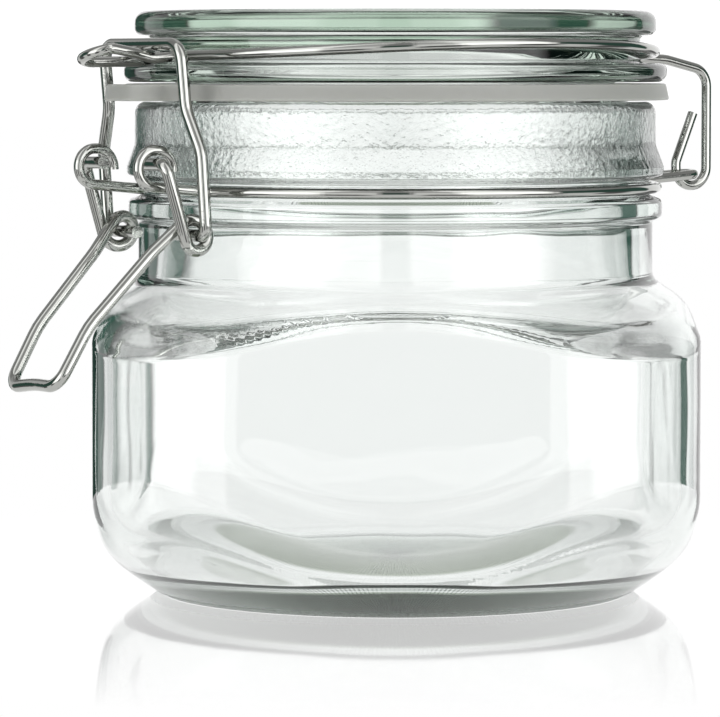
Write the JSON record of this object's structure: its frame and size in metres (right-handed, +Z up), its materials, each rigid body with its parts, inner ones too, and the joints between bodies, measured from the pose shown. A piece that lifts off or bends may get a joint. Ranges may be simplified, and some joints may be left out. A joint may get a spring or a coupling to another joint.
{
  "type": "clip-top glass storage jar",
  "caption": "Square clear-glass storage jar with a round neck, a grooved glass lid, a silicone gasket and a wire clip that locks the lid down.",
  "frame": {"origin": "on the jar's axis, at the level its foot stands on", "axes": "+Z up; the four flat sides face +X, -X, +Y and -Y; the clasp points out over the corner between -X and -Y, 33.5 degrees from -X, and the hinge is opposite"},
  "size_m": [0.1226, 0.1024, 0.1008],
  "materials": {
    "glass": "clear pressed soda-lime glass, fire polished",
    "lid_glass": "clear pressed soda-lime glass with a green edge",
    "silicone": "translucent grey-white silicone, satin",
    "wire": "bright zinc-plated drawn steel wire"
  },
  "bodies": {
    "jar": {"glass_jar": "glass", "neck_hoop": "wire"},
    "lid": {"glass_lid": "lid_glass", "gasket": "silicone", "lid_hoop": "wire"},
    "lever": {"lever": "wire"},
    "bail": {"bail": "wire"}
  },
  "joints": [
    {"name": "lid_hinge", "type": "hinge", "parent": "jar", "child": "lid", "pos_m": [0.05395, 0.03571, 0.0718], "axis": [-0.5519, 0.8339, 0], "range_deg": [0, 120]},
    {"name": "lever_swing", "type": "hinge", "parent": "jar", "child": "lever", "pos_m": [-0.04545, -0.03008, 0.0751], "axis": [-0.5519, 0.8339, 0], "range_deg": [0, 110], "deforming": ["bail"]},
    {"name": "bail_swing", "type": "hinge", "parent": "lever", "child": "bail", "pos_m": [-0.04028, -0.02666, 0.0633], "axis": [-0.5519, 0.8339, 0], "range_deg": [-110, 0]}
  ],
  "couplings": [
    {"joint": "bail_swing", "follows": "lever_swing", "ratio": -1}
  ]
}
